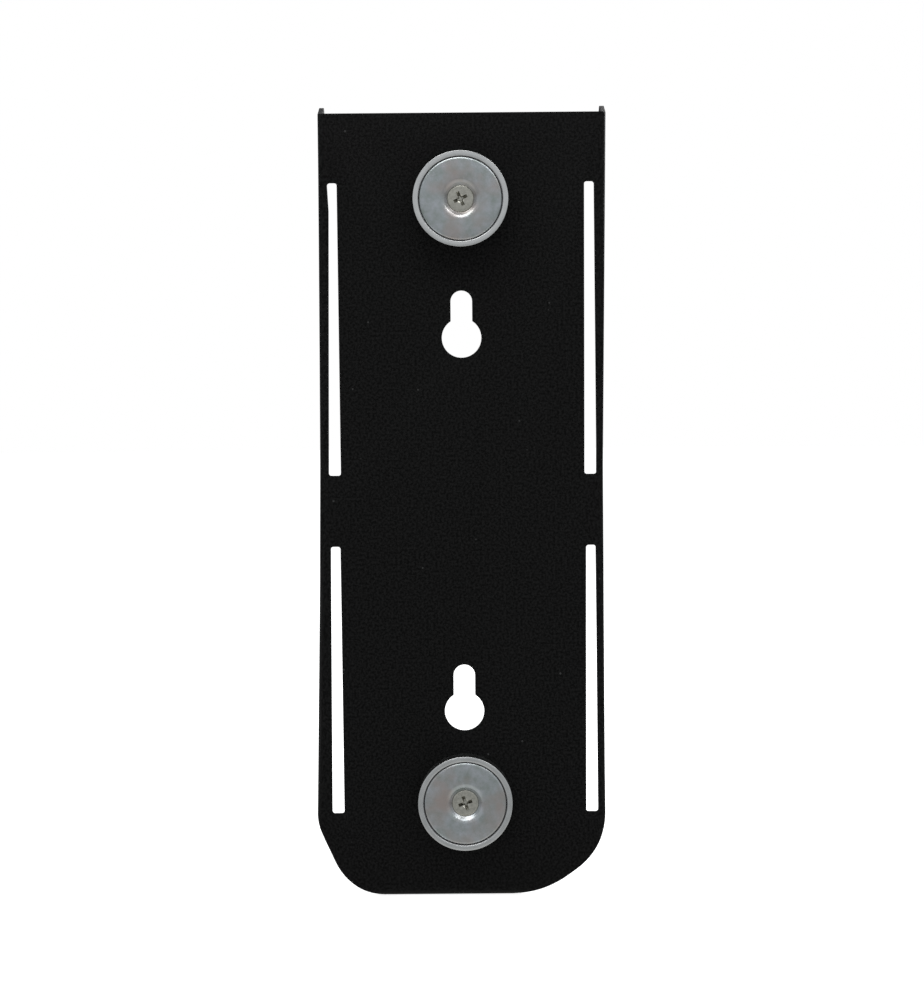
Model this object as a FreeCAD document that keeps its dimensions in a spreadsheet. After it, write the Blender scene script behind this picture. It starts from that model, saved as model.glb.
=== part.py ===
"""Magnetic wall holder for salon tools: a folded sheet-steel shell on two bolted pot magnets.

The origin is midway between the two keyholes, on the wall side of the back plate.
X runs across the plate, Y away from the wall towards the open front, Z up. Millimetres.
"""

import FreeCAD, Part
import math
import os

import Sketcher

SIZES = {
    # folded sheet
    "sheet_thickness": 1.5,
    "bend_outer_radius": 3.5,
    "plate_top": 139.2,
    "plate_bottom": 127.0,
    "wall_depth": 22.0,
    "wall_end_rise": 4.0,
    "ear_rise": 4.8,
    "ear_radius": 5.0,
    "wall_foot_radius": 12.0,
    # side folds, each bowed by a wide arc that comes nearest the middle at its waist
    "left_waist_half_width": 48.0,
    "left_waist_height": 106.5,
    "right_waist_half_width": 47.65,
    "right_waist_height": -21.3,
    "side_bow_radius": 8000.0,
    "side_sweep_angle": 3.4,
    # bottom corners, cut to different curves on the two sides
    "corner_start": 98.5,
    "left_shoulder_radius": 15.0,
    "left_chamfer_angle": 65.3,
    "left_toe_radius": 20.4,
    "right_shoulder_radius": 24.0,
    "right_chamfer_angle": 36.1,
    "right_toe_radius": 37.9,
    # bottom tray
    "tray_left": 24.9,
    "tray_right": 12.2,
    "tray_lip_height": 14.0,
    # slits along the side folds
    "slit_centre": 43.35,
    "slit_top_half_width": 1.65,
    "slit_bottom_half_width": 2.05,
    "slit_corner_radius": 0.9,
    "upper_slit_top": 115.9,
    "upper_slit_bottom": 17.1,
    "lower_slit_top": 7.0,
    "lower_slit_bottom": 98.4,
    # keyholes
    "keyhole_spacing": 127.0,
    "keyhole_round_radius": 6.7,
    "keyhole_slot_radius": 3.65,
    "keyhole_slot_rise": 12.3,
    # pot magnets
    "upper_magnet_height": 110.0,
    "lower_magnet_height": 94.0,
    "cup_radius": 16.0,
    "cup_height": 8.0,
    "cup_wall": 1.7,
    "cup_floor": 2.0,
    "cup_edge_round": 0.4,
    "groove_width": 0.3,
    "groove_depth": 0.5,
    "magnet_recess": 0.15,
    "magnet_edge_chamfer": 0.5,
    "countersink_radius": 6.0,
    # M5 countersunk screws, washers and nuts
    "screw_hole_radius": 2.75,
    "screw_head_radius": 4.5,
    "screw_rim": 0.3,
    "screw_radius": 2.45,
    "screw_length": 14.0,
    "screw_recess_span": 4.8,
    "screw_recess_width": 1.1,
    "screw_recess_depth": 1.9,
    "thread_pitch": 0.8,
    "thread_depth": 0.3,
    "thread_clearance": 0.08,
    "thread_groove_width": 0.72,
    "thread_turns": 14,
    "washer_radius": 5.0,
    "washer_hole_radius": 2.65,
    "washer_thickness": 1.0,
    "nut_across_flats": 8.0,
    "nut_height": 4.0,
    "nut_bore_radius": 2.5,
    "nut_mouth_radius": 2.9,
    "nut_corner_inset": 0.12,
    "nut_corner_reach": 1.0,
    "nut_corner_rise": 1.0,
}

document = FreeCAD.newDocument("magnetic_tool_holder")
sheet = document.addObject("Spreadsheet::Sheet", "sizes")
for row, (alias, value) in enumerate(SIZES.items(), start=1):
    sheet.set(f"A{row}", alias)
    sheet.set(f"B{row}", str(value))
    sheet.setAlias(f"B{row}", alias)
document.recompute()

START, END, CENTRE = 1, 2, 3
ORIGIN = (-1, 1)
SAME = 1e-4
SPARE = 12.0
TRIM_REACH = 220.0
WALL_SPAN = "4 * sizes.left_waist_half_width"


def number(expression):
    """The value of an expression over the sheet's sizes."""
    result = sheet.evalExpression(expression)
    return float(getattr(result, "Value", result))


def point(across, up):
    """A point of a sketch, from two expressions or numbers."""
    values = [number(item) if isinstance(item, str) else item for item in (across, up)]
    return FreeCAD.Vector(values[0], values[1], 0)


class Drawing:
    """A sketch on one of its body's origin planes, with its dimensions bound to the sheet."""

    def __init__(self, body, name, plane, offset=None):
        self.sketch = body.newObject("Sketcher::SketchObject", name)
        support = [item for item in body.Origin.OriginFeatures if item.Role == plane]
        self.sketch.AttachmentSupport = [(support[0], "")]
        self.sketch.MapMode = "FlatFace"
        if offset:
            self.sketch.setExpression("AttachmentOffset.Base.z", offset)

    def line(self, start, end, construction=False):
        return self.sketch.addGeometry(Part.LineSegment(start, end), construction)

    def arc(self, centre, radius, first_angle, last_angle):
        circle = Part.Circle(centre, FreeCAD.Vector(0, 0, 1), radius)
        return self.sketch.addGeometry(Part.ArcOfCircle(circle, first_angle, last_angle), False)

    def circle(self, centre, radius):
        circle = Part.Circle(centre, FreeCAD.Vector(0, 0, 1), radius)
        return self.sketch.addGeometry(circle, False)

    def hold(self, kind, *items):
        return self.sketch.addConstraint(Sketcher.Constraint(kind, *items))

    def dimension(self, expression, kind, *items):
        """A driving dimension that follows an expression over the sheet."""
        index = self.hold(kind, *items, number(expression))
        name = f"size_{index}"
        self.sketch.renameConstraint(index, name)
        self.sketch.setExpression(f"Constraints.{name}", expression)

    def angle(self, expression, *items):
        index = self.hold("Angle", *items, math.radians(number(expression)))
        name = f"angle_{index}"
        self.sketch.renameConstraint(index, name)
        self.sketch.setExpression(f"Constraints.{name}", f"({expression}) * 1 deg")

    def pin(self, item, end, across, up):
        """Fix a point at two expressions' distances from the sketch's origin."""
        self.dimension(across, "DistanceX", *ORIGIN, item, end)
        self.dimension(up, "DistanceY", *ORIGIN, item, end)

    def polygon(self, corners):
        """A closed outline of straight lines through corners given as pairs of expressions."""
        points = [point(*corner) for corner in corners]
        sides = [self.line(a, b) for a, b in zip(points, points[1:] + points[:1])]
        for side, following in zip(sides, sides[1:] + sides[:1]):
            self.hold("Coincident", side, END, following, START)
        for side, corner in zip(sides, corners):
            self.pin(side, START, *corner)
        return sides

    def disc_hull(self, centres, radius):
        """The outline round equal discs, whose centres go round anticlockwise as expressions."""
        points = [point(*centre) for centre in centres]
        size = number(radius)
        ways = [(b - a).normalize() for a, b in zip(points, points[1:] + points[:1])]
        outward = [FreeCAD.Vector(way.y, -way.x, 0) for way in ways]
        corners = []
        sides = []
        for place, before, after in zip(points, outward[-1:] + outward[:-1], outward):
            first = math.atan2(before.y, before.x)
            corners.append(self.arc(place, size, first, first + before.getAngle(after)))
        for a, b, out in zip(points, points[1:] + points[:1], outward):
            sides.append(self.line(a + out * size, b + out * size))
        for corner, side, following in zip(corners, sides, corners[1:] + corners[:1]):
            self.hold("Tangent", corner, END, side, START)
            self.hold("Tangent", side, END, following, START)
        for corner, centre in zip(corners, centres):
            self.pin(corner, CENTRE, *centre)
            self.dimension(radius, "Radius", corner)


def new_body(label):
    body = document.addObject("PartDesign::Body", label)
    body.Label = label
    return body


def extrude(body, kind, name, drawing, length, away=False, both_ways=False):
    """A Pad or a Pocket of a drawing, away from its usual side or to both sides of it."""
    feature = body.newObject(f"PartDesign::{kind}", name)
    feature.Profile = drawing.sketch
    feature.Reversed = away
    if both_ways:
        feature.SideType = "Symmetric"
    feature.setExpression("Length", length)
    document.recompute()
    return feature


def turn(body, name, drawing, kind="Revolution"):
    """A full turn of a drawing about its upright axis."""
    feature = body.newObject(f"PartDesign::{kind}", name)
    feature.Profile = drawing.sketch
    feature.ReferenceAxis = (drawing.sketch, ["V_Axis"])
    feature.Angle = 360
    document.recompute()
    return feature


def dress(body, kind, name, size_property, expression, chosen):
    """Fillet or chamfer the edges of the body's present shape that a test chooses."""
    base = body.Tip
    names = [f"Edge{i}" for i, edge in enumerate(base.Shape.Edges, start=1) if chosen(edge)]
    feature = body.newObject(f"PartDesign::{kind}", name)
    feature.Base = (base, names)
    feature.setExpression(size_property, expression)
    document.recompute()
    return feature


# ---------------------------------------------------------------- holder shell

def add_back_plate(body):
    """The flat back, between the side folds and the tray's fold."""
    left = "sizes.bend_outer_radius - sizes.left_waist_half_width"
    right = "sizes.right_waist_half_width - sizes.bend_outer_radius"
    foot = "sizes.bend_outer_radius - sizes.plate_bottom"
    drawing = Drawing(body, "back_outline", "XZ_Plane")
    drawing.polygon([
        (left, foot),
        (right, foot),
        (right, "sizes.plate_top"),
        (left, "sizes.plate_top"),
    ])
    extrude(body, "Pad", "back_plate", drawing, "sizes.sheet_thickness", away=True)


def fold_section(drawing, outer_across, turn_sign):
    """One sheet thickness of fold and wall, starting flat in the back and ending at wall_depth."""
    radius = number("sizes.bend_outer_radius")
    thickness = number("sizes.sheet_thickness")
    depth = number("sizes.wall_depth")
    outer = number(outer_across)
    centre = FreeCAD.Vector(outer - turn_sign * radius, radius, 0)
    flat_end = centre.x - turn_sign * radius
    inner = radius - thickness
    angles = (-math.pi / 2, 0) if turn_sign > 0 else (math.pi, 3 * math.pi / 2)
    outside = drawing.arc(centre, radius, *angles)
    inside = drawing.arc(centre, inner, *angles)
    low, high = (START, END) if turn_sign > 0 else (END, START)
    below = drawing.line(FreeCAD.Vector(flat_end, 0, 0), FreeCAD.Vector(centre.x, 0, 0))
    above = drawing.line(
        FreeCAD.Vector(flat_end, thickness, 0), FreeCAD.Vector(centre.x, thickness, 0)
    )
    start = drawing.line(FreeCAD.Vector(flat_end, 0, 0), FreeCAD.Vector(flat_end, thickness, 0))
    wall_in = outer - turn_sign * thickness
    outer_face = drawing.line(FreeCAD.Vector(outer, radius, 0), FreeCAD.Vector(outer, depth, 0))
    inner_face = drawing.line(FreeCAD.Vector(wall_in, radius, 0), FreeCAD.Vector(wall_in, depth, 0))
    end = drawing.line(FreeCAD.Vector(outer, depth, 0), FreeCAD.Vector(wall_in, depth, 0))
    drawing.hold("Coincident", start, START, below, START)
    drawing.hold("Coincident", start, END, above, START)
    drawing.hold("Tangent", below, END, outside, low)
    drawing.hold("Tangent", above, END, inside, low)
    drawing.hold("Tangent", outside, high, outer_face, START)
    drawing.hold("Tangent", inside, high, inner_face, START)
    drawing.hold("Coincident", outer_face, END, end, START)
    drawing.hold("Coincident", inner_face, END, end, END)
    drawing.hold("Coincident", outside, CENTRE, inside, CENTRE)
    drawing.hold("Horizontal", below)
    drawing.hold("Vertical", outer_face)
    drawing.hold("Vertical", start)
    drawing.hold("Horizontal", end)
    drawing.dimension("sizes.bend_outer_radius", "Radius", outside)
    drawing.dimension("sizes.bend_outer_radius - sizes.sheet_thickness", "Radius", inside)
    drawing.dimension("sizes.wall_depth", "DistanceY", *ORIGIN, end, START)
    drawing.pin(below, START, f"{outer_across} - {2 * turn_sign} * sizes.bend_outer_radius", "0")
    return start


def add_side_wall(body, side, side_sign):
    """One side fold and wall, swept along the wide arc that bows it."""
    half_width = f"sizes.{side}_waist_half_width"
    drawing = Drawing(body, f"{side}_side_section", "XY_Plane", offset=f"sizes.{side}_waist_height")
    fold_section(drawing, f"{side_sign} * {half_width}", side_sign)
    axis_at = f"{side_sign} * ({half_width} + sizes.side_bow_radius)"
    axis = drawing.line(point(axis_at, 0.0), point(axis_at, SPARE), construction=True)
    drawing.hold("Vertical", axis)
    drawing.pin(axis, START, axis_at, "0")
    drawing.dimension(f"{SPARE}", "DistanceY", axis, START, axis, END)
    wall = body.newObject("PartDesign::Revolution", f"{side}_wall")
    wall.Profile = drawing.sketch
    wall.ReferenceAxis = (drawing.sketch, ["Axis0"])
    wall.Midplane = True
    wall.setExpression("Angle", "sizes.side_sweep_angle")
    document.recompute()


def cut_slits(body):
    """Four long slits beside the side folds, a little wider at the foot, with rounded corners."""
    spans = (
        ("upper", "sizes.upper_slit_top", "sizes.upper_slit_bottom"),
        ("lower", "-sizes.lower_slit_top", "-sizes.lower_slit_bottom"),
    )
    corner = "sizes.slit_corner_radius"
    head = f"(sizes.slit_top_half_width - {corner})"
    foot = f"(sizes.slit_bottom_half_width - {corner})"
    for side, middle in (("right", "sizes.slit_centre"), ("left", "-sizes.slit_centre")):
        for level, top, bottom in spans:
            drawing = Drawing(body, f"{level}_{side}_slit_outline", "XZ_Plane")
            drawing.disc_hull([
                (f"{middle} - {foot}", f"{bottom} + {corner}"),
                (f"{middle} + {foot}", f"{bottom} + {corner}"),
                (f"{middle} + {head}", f"{top} - {corner}"),
                (f"{middle} - {head}", f"{top} - {corner}"),
            ], corner)
            reach = "2 * sizes.wall_depth"
            extrude(body, "Pocket", f"{level}_{side}_slit", drawing, reach, both_ways=True)


def trim_wall_tops(body):
    """The walls' top edge, level at the fold, then rising to a rounded ear at the front."""
    radius = number("sizes.bend_outer_radius")
    depth = number("sizes.wall_depth")
    low = number("sizes.plate_top")
    high = low + number("sizes.ear_rise")
    ear = number("sizes.ear_radius")
    slope = math.atan2(high - low, depth - radius)
    turn_length = ear * math.tan((math.pi / 2 + slope) / 2)
    apex = FreeCAD.Vector(depth, high, 0)
    along = FreeCAD.Vector(math.cos(slope), math.sin(slope), 0)
    arc_start = apex - along * turn_length
    arc_end = FreeCAD.Vector(depth, high - turn_length, 0)
    centre = FreeCAD.Vector(depth - ear, arc_end.y, 0)
    beyond, above = depth + SPARE, high + TRIM_REACH
    drawing = Drawing(body, "wall_top_trim", "YZ_Plane")
    level = drawing.line(FreeCAD.Vector(-SPARE, low, 0), FreeCAD.Vector(radius, low, 0))
    rise = drawing.line(FreeCAD.Vector(radius, low, 0), arc_start)
    round_end = drawing.arc(centre, ear, 0, math.pi / 2 + slope)
    out = drawing.line(arc_end, FreeCAD.Vector(beyond, arc_end.y, 0))
    up = drawing.line(FreeCAD.Vector(beyond, arc_end.y, 0), FreeCAD.Vector(beyond, above, 0))
    back = drawing.line(FreeCAD.Vector(beyond, above, 0), FreeCAD.Vector(-SPARE, above, 0))
    down = drawing.line(FreeCAD.Vector(-SPARE, above, 0), FreeCAD.Vector(-SPARE, low, 0))
    drawing.hold("Coincident", level, END, rise, START)
    drawing.hold("Tangent", rise, END, round_end, END)
    drawing.hold("Coincident", round_end, START, out, START)
    drawing.hold("Coincident", out, END, up, START)
    drawing.hold("Coincident", up, END, back, START)
    drawing.hold("Coincident", back, END, down, START)
    drawing.hold("Coincident", down, END, level, START)
    drawing.hold("Horizontal", level)
    drawing.hold("Horizontal", out)
    drawing.hold("Vertical", up)
    drawing.hold("Horizontal", back)
    drawing.hold("Vertical", down)
    drawing.hold("Horizontal", round_end, CENTRE, round_end, START)
    drawing.pin(level, END, "sizes.bend_outer_radius", "sizes.plate_top")
    drawing.dimension(f"{-SPARE}", "DistanceX", *ORIGIN, level, START)
    drawing.dimension(f"sizes.wall_depth + {SPARE}", "DistanceX", *ORIGIN, up, START)
    drawing.dimension(f"sizes.plate_top + sizes.ear_rise + {TRIM_REACH}", "DistanceY", *ORIGIN, back, END)
    drawing.dimension("sizes.ear_radius", "Radius", round_end)
    drawing.dimension("sizes.wall_depth", "DistanceX", *ORIGIN, round_end, START)
    drawing.angle("atan2(sizes.ear_rise; sizes.wall_depth - sizes.bend_outer_radius) / 1 deg", rise)
    extrude(body, "Pocket", "wall_tops", drawing, WALL_SPAN, both_ways=True)


def trim_wall_feet(body):
    """The walls' lower end, rising towards a rounded front corner."""
    radius = number("sizes.bend_outer_radius")
    depth = number("sizes.wall_depth")
    low = -number("sizes.corner_start")
    high = low + number("sizes.wall_end_rise")
    foot = number("sizes.wall_foot_radius")
    slope = math.atan2(high - low, depth - radius)
    turn_length = foot * math.tan((math.pi / 2 + slope) / 2)
    apex = FreeCAD.Vector(depth, high, 0)
    along = FreeCAD.Vector(math.cos(slope), math.sin(slope), 0)
    arc_start = apex - along * turn_length
    arc_end = FreeCAD.Vector(depth, high + turn_length, 0)
    centre = FreeCAD.Vector(depth - foot, arc_end.y, 0)
    beyond, below = depth + SPARE, low - TRIM_REACH
    drawing = Drawing(body, "wall_foot_trim", "YZ_Plane")
    rise = drawing.line(FreeCAD.Vector(radius, low, 0), arc_start)
    round_end = drawing.arc(centre, foot, slope - math.pi / 2, 0)
    out = drawing.line(arc_end, FreeCAD.Vector(beyond, arc_end.y, 0))
    drop = drawing.line(FreeCAD.Vector(beyond, arc_end.y, 0), FreeCAD.Vector(beyond, below, 0))
    back = drawing.line(FreeCAD.Vector(beyond, below, 0), FreeCAD.Vector(radius, below, 0))
    up = drawing.line(FreeCAD.Vector(radius, below, 0), FreeCAD.Vector(radius, low, 0))
    drawing.hold("Tangent", rise, END, round_end, START)
    drawing.hold("Coincident", round_end, END, out, START)
    drawing.hold("Coincident", out, END, drop, START)
    drawing.hold("Coincident", drop, END, back, START)
    drawing.hold("Coincident", back, END, up, START)
    drawing.hold("Coincident", up, END, rise, START)
    drawing.hold("Horizontal", out)
    drawing.hold("Vertical", drop)
    drawing.hold("Horizontal", back)
    drawing.hold("Vertical", up)
    drawing.hold("Horizontal", round_end, CENTRE, round_end, END)
    drawing.pin(rise, START, "sizes.bend_outer_radius", "-sizes.corner_start")
    drawing.dimension(f"sizes.wall_depth + {SPARE}", "DistanceX", *ORIGIN, drop, START)
    drawing.dimension(f"-sizes.corner_start - {TRIM_REACH}", "DistanceY", *ORIGIN, back, END)
    drawing.dimension("sizes.wall_foot_radius", "Radius", round_end)
    drawing.dimension("sizes.wall_depth", "DistanceX", *ORIGIN, round_end, END)
    drawing.angle("atan2(sizes.wall_end_rise; sizes.wall_depth - sizes.bend_outer_radius) / 1 deg", rise)
    extrude(body, "Pocket", "wall_feet", drawing, WALL_SPAN, both_ways=True)


def add_tray(body):
    """The bottom fold, the tray's floor and its front lip."""
    radius = number("sizes.bend_outer_radius")
    thickness = number("sizes.sheet_thickness")
    inner = radius - thickness
    base = -number("sizes.plate_bottom")
    centre = FreeCAD.Vector(radius, base + radius, 0)
    fold = Drawing(body, "tray_fold_section", "YZ_Plane")
    outside = fold.arc(centre, radius, math.pi, 3 * math.pi / 2)
    inside = fold.arc(centre, inner, math.pi, 3 * math.pi / 2)
    top = fold.line(FreeCAD.Vector(0, centre.y, 0), FreeCAD.Vector(thickness, centre.y, 0))
    front = fold.line(FreeCAD.Vector(radius, base, 0), FreeCAD.Vector(radius, base + thickness, 0))
    fold.hold("Coincident", top, START, outside, START)
    fold.hold("Coincident", top, END, inside, START)
    fold.hold("Coincident", front, START, outside, END)
    fold.hold("Coincident", front, END, inside, END)
    fold.hold("Coincident", inside, CENTRE, outside, CENTRE)
    fold.hold("Horizontal", top)
    fold.hold("Vertical", front)
    fold.pin(outside, CENTRE, "sizes.bend_outer_radius", "sizes.bend_outer_radius - sizes.plate_bottom")
    fold.dimension("sizes.bend_outer_radius", "Radius", outside)
    fold.dimension("sizes.bend_outer_radius - sizes.sheet_thickness", "Radius", inside)
    fold.hold("Horizontal", outside, CENTRE, outside, START)
    fold.hold("Vertical", outside, CENTRE, outside, END)
    width = "2 * (sizes.right_waist_half_width - sizes.bend_outer_radius)"
    extrude(body, "Pad", "tray_fold", fold, width, both_ways=True)

    depth = number("sizes.wall_depth")
    lip_top = base + number("sizes.tray_lip_height")
    corner = FreeCAD.Vector(depth - radius, base + radius, 0)
    tray = Drawing(body, "tray_section", "YZ_Plane")
    below = tray.line(FreeCAD.Vector(radius, base, 0), FreeCAD.Vector(corner.x, base, 0))
    bend_out = tray.arc(corner, radius, -math.pi / 2, 0)
    face = tray.line(FreeCAD.Vector(depth, corner.y, 0), FreeCAD.Vector(depth, lip_top, 0))
    edge = tray.line(FreeCAD.Vector(depth, lip_top, 0), FreeCAD.Vector(depth - thickness, lip_top, 0))
    back = tray.line(
        FreeCAD.Vector(depth - thickness, lip_top, 0), FreeCAD.Vector(depth - thickness, corner.y, 0)
    )
    bend_in = tray.arc(corner, inner, -math.pi / 2, 0)
    above = tray.line(
        FreeCAD.Vector(corner.x, base + thickness, 0), FreeCAD.Vector(radius, base + thickness, 0)
    )
    end = tray.line(FreeCAD.Vector(radius, base + thickness, 0), FreeCAD.Vector(radius, base, 0))
    tray.hold("Tangent", below, END, bend_out, START)
    tray.hold("Tangent", bend_out, END, face, START)
    tray.hold("Coincident", face, END, edge, START)
    tray.hold("Coincident", edge, END, back, START)
    tray.hold("Tangent", back, END, bend_in, END)
    tray.hold("Tangent", bend_in, START, above, START)
    tray.hold("Coincident", above, END, end, START)
    tray.hold("Coincident", end, END, below, START)
    tray.hold("Coincident", bend_in, CENTRE, bend_out, CENTRE)
    tray.hold("Horizontal", below)
    tray.hold("Vertical", face)
    tray.hold("Horizontal", edge)
    tray.hold("Vertical", end)
    tray.pin(below, START, "sizes.bend_outer_radius", "-sizes.plate_bottom")
    tray.dimension("sizes.bend_outer_radius", "Radius", bend_out)
    tray.dimension("sizes.bend_outer_radius - sizes.sheet_thickness", "Radius", bend_in)
    tray.dimension("sizes.wall_depth", "DistanceX", *ORIGIN, face, START)
    tray.dimension("sizes.tray_lip_height - sizes.plate_bottom", "DistanceY", *ORIGIN, face, END)
    pad = extrude(body, "Pad", "tray", tray, "sizes.tray_right")
    pad.SideType = "Two sides"
    pad.setExpression("Length2", "sizes.tray_left")
    document.recompute()


def corner_cut(body, side, name, side_sign):
    """One bottom corner's curve: shoulder arc, chamfer and toe arc, cut through the fold."""
    across = (
        f"sizes.{side}_waist_half_width + (sizes.{side}_waist_height + sizes.corner_start) ^ 2"
        " / (2 * sizes.side_bow_radius)"
    )
    shoulder = number(f"sizes.{side}_shoulder_radius")
    toe = number(f"sizes.{side}_toe_radius")
    slope = math.radians(number(f"sizes.{side}_chamfer_angle"))
    edge = number(across)
    top = -number("sizes.corner_start")
    base = -number("sizes.plate_bottom")

    def at(x, z):
        return FreeCAD.Vector(side_sign * x, z, 0)

    shoulder_end = (edge - shoulder * (1 - math.sin(slope)), top - shoulder * math.cos(slope))
    toe_start_z = base + toe * (1 - math.cos(slope))
    run = (shoulder_end[1] - toe_start_z) / math.tan(slope)
    toe_start = (shoulder_end[0] - run, toe_start_z)
    toe_end_x = toe_start[0] - toe * math.sin(slope)
    beyond, below = edge + SPARE, base - TRIM_REACH
    drawing = Drawing(body, f"{side}_corner_outline", "XZ_Plane")
    out = drawing.line(at(beyond, top), at(edge, top))
    angles = (slope - math.pi / 2, 0)
    toe_angles = (-math.pi / 2, slope - math.pi / 2)
    if side_sign > 0:
        first = drawing.arc(at(edge - shoulder, top), shoulder, *angles)
        second = drawing.arc(at(toe_end_x, base + toe), toe, *toe_angles)
        first_ends, second_ends = (END, START), (END, START)
    else:
        mirrored = [math.pi - angle for angle in reversed(angles)]
        first = drawing.arc(at(edge - shoulder, top), shoulder, *mirrored)
        mirrored = [math.pi - angle for angle in reversed(toe_angles)]
        second = drawing.arc(at(toe_end_x, base + toe), toe, *mirrored)
        first_ends, second_ends = (START, END), (START, END)
    chamfer = drawing.line(at(*shoulder_end), at(*toe_start))
    drop = drawing.line(at(toe_end_x, base), at(toe_end_x, below))
    under = drawing.line(at(toe_end_x, below), at(beyond, below))
    rise = drawing.line(at(beyond, below), at(beyond, top))
    drawing.hold("Coincident", out, END, first, first_ends[0])
    drawing.hold("Tangent", first, first_ends[1], chamfer, START)
    drawing.hold("Tangent", chamfer, END, second, second_ends[0])
    drawing.hold("Coincident", second, second_ends[1], drop, START)
    drawing.hold("Coincident", drop, END, under, START)
    drawing.hold("Coincident", under, END, rise, START)
    drawing.hold("Coincident", rise, END, out, START)
    drawing.hold("Horizontal", out)
    drawing.hold("Vertical", drop)
    drawing.hold("Horizontal", under)
    drawing.hold("Vertical", rise)
    drawing.hold("Horizontal", first, CENTRE, first, first_ends[0])
    drawing.hold("Vertical", second, CENTRE, second, second_ends[1])
    sign = "" if side_sign > 0 else "-"
    drawing.pin(out, END, f"{sign}({across})", "-sizes.corner_start")
    drawing.dimension(f"{sign}({across} + {SPARE})", "DistanceX", *ORIGIN, rise, START)
    drawing.dimension(f"-sizes.plate_bottom - {TRIM_REACH}", "DistanceY", *ORIGIN, rise, START)
    drawing.dimension("-sizes.plate_bottom", "DistanceY", *ORIGIN, drop, START)
    drawing.dimension(f"sizes.{side}_shoulder_radius", "Radius", first)
    drawing.dimension(f"sizes.{side}_toe_radius", "Radius", second)
    if side_sign > 0:
        drawing.angle(f"sizes.{side}_chamfer_angle - 180", chamfer)
    else:
        drawing.angle(f"-sizes.{side}_chamfer_angle", chamfer)
    extrude(body, "Pocket", name, drawing, "sizes.bend_outer_radius")


def cut_keyholes(body):
    """Two keyholes: a round that passes a screw's head, and a narrow slot above for its shank."""
    drawing = Drawing(body, "keyhole_outlines", "XZ_Plane")
    radius = number("sizes.keyhole_round_radius")
    slot = number("sizes.keyhole_slot_radius")
    rise = number("sizes.keyhole_slot_rise")
    opening = math.asin(slot / radius)
    neck = radius * math.cos(opening)
    for sign in ("", "-"):
        height = f"{sign}sizes.keyhole_spacing / 2"
        middle = number(height)
        centre = FreeCAD.Vector(0, middle, 0)
        top = FreeCAD.Vector(0, middle + rise, 0)
        round_part = drawing.arc(
            centre, radius, math.pi / 2 + opening, 5 * math.pi / 2 - opening
        )
        right = drawing.line(
            FreeCAD.Vector(slot, middle + neck, 0), FreeCAD.Vector(slot, top.y, 0)
        )
        cap = drawing.arc(top, slot, 0, math.pi)
        left = drawing.line(
            FreeCAD.Vector(-slot, top.y, 0), FreeCAD.Vector(-slot, middle + neck, 0)
        )
        drawing.hold("Coincident", round_part, END, right, START)
        drawing.hold("Tangent", right, END, cap, START)
        drawing.hold("Tangent", cap, END, left, START)
        drawing.hold("Coincident", left, END, round_part, START)
        drawing.hold("Vertical", right)
        drawing.pin(round_part, CENTRE, "0", height)
        drawing.pin(cap, CENTRE, "0", f"{height} + sizes.keyhole_slot_rise")
        drawing.dimension("sizes.keyhole_round_radius", "Radius", round_part)
        drawing.dimension("sizes.keyhole_slot_radius", "Radius", cap)
    extrude(body, "Pocket", "keyholes", drawing, "sizes.sheet_thickness")


def cut_screw_holes(body):
    """The two holes that the magnets' screws pass through."""
    drawing = Drawing(body, "screw_hole_outlines", "XZ_Plane")
    for height in ("sizes.upper_magnet_height", "-sizes.lower_magnet_height"):
        hole = drawing.circle(point(0.0, height), number("sizes.screw_hole_radius"))
        drawing.pin(hole, CENTRE, "0", height)
        drawing.dimension("sizes.screw_hole_radius", "Radius", hole)
    extrude(body, "Pocket", "screw_holes", drawing, "sizes.sheet_thickness")


def build_holder_shell():
    body = new_body("holder_shell")
    add_back_plate(body)
    add_side_wall(body, "left", -1)
    add_side_wall(body, "right", 1)
    cut_slits(body)
    trim_wall_tops(body)
    trim_wall_feet(body)
    add_tray(body)
    corner_cut(body, "left", "left_corner", -1)
    corner_cut(body, "right", "right_corner", 1)
    cut_keyholes(body)
    cut_screw_holes(body)
    return body


# ---------------------------------------------------------------- pot magnets

def turned_body(label, corners, height):
    """A body turned about the Y axis from corners given as radius and Y, raised to a height."""
    body = new_body(label)
    drawing = Drawing(body, f"{label}_section", "XY_Plane")
    drawing.polygon(corners)
    turn(body, f"{label}_turned", drawing)
    body.setExpression("Placement.Base.z", height)
    return body


def is_circle_at(radius, depth):
    """A test for the full circles of a radius at one place along the Y axis."""
    def test(edge):
        curve = edge.Curve
        if not isinstance(curve, Part.Circle):
            return False
        return abs(curve.Radius - radius) < SAME and abs(curve.Center.y - depth) < SAME
    return test


def build_magnet_cup(label, height):
    """The pressed steel cup, open towards the wall, with rounded rims."""
    body = turned_body(label, [
        ("sizes.screw_hole_radius", "0"),
        ("sizes.cup_radius", "0"),
        ("sizes.cup_radius", "-sizes.cup_height"),
        ("sizes.cup_radius - sizes.cup_wall", "-sizes.cup_height"),
        ("sizes.cup_radius - sizes.cup_wall", "-sizes.cup_floor"),
        ("sizes.screw_hole_radius", "-sizes.cup_floor"),
    ], height)
    outer = number("sizes.cup_radius")
    rims = [is_circle_at(outer, 0), is_circle_at(outer, -number("sizes.cup_height"))]
    dress(body, "Fillet", f"{label}_rims", "Radius", "sizes.cup_edge_round",
          lambda edge: any(rim(edge) for rim in rims))
    return body


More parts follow.
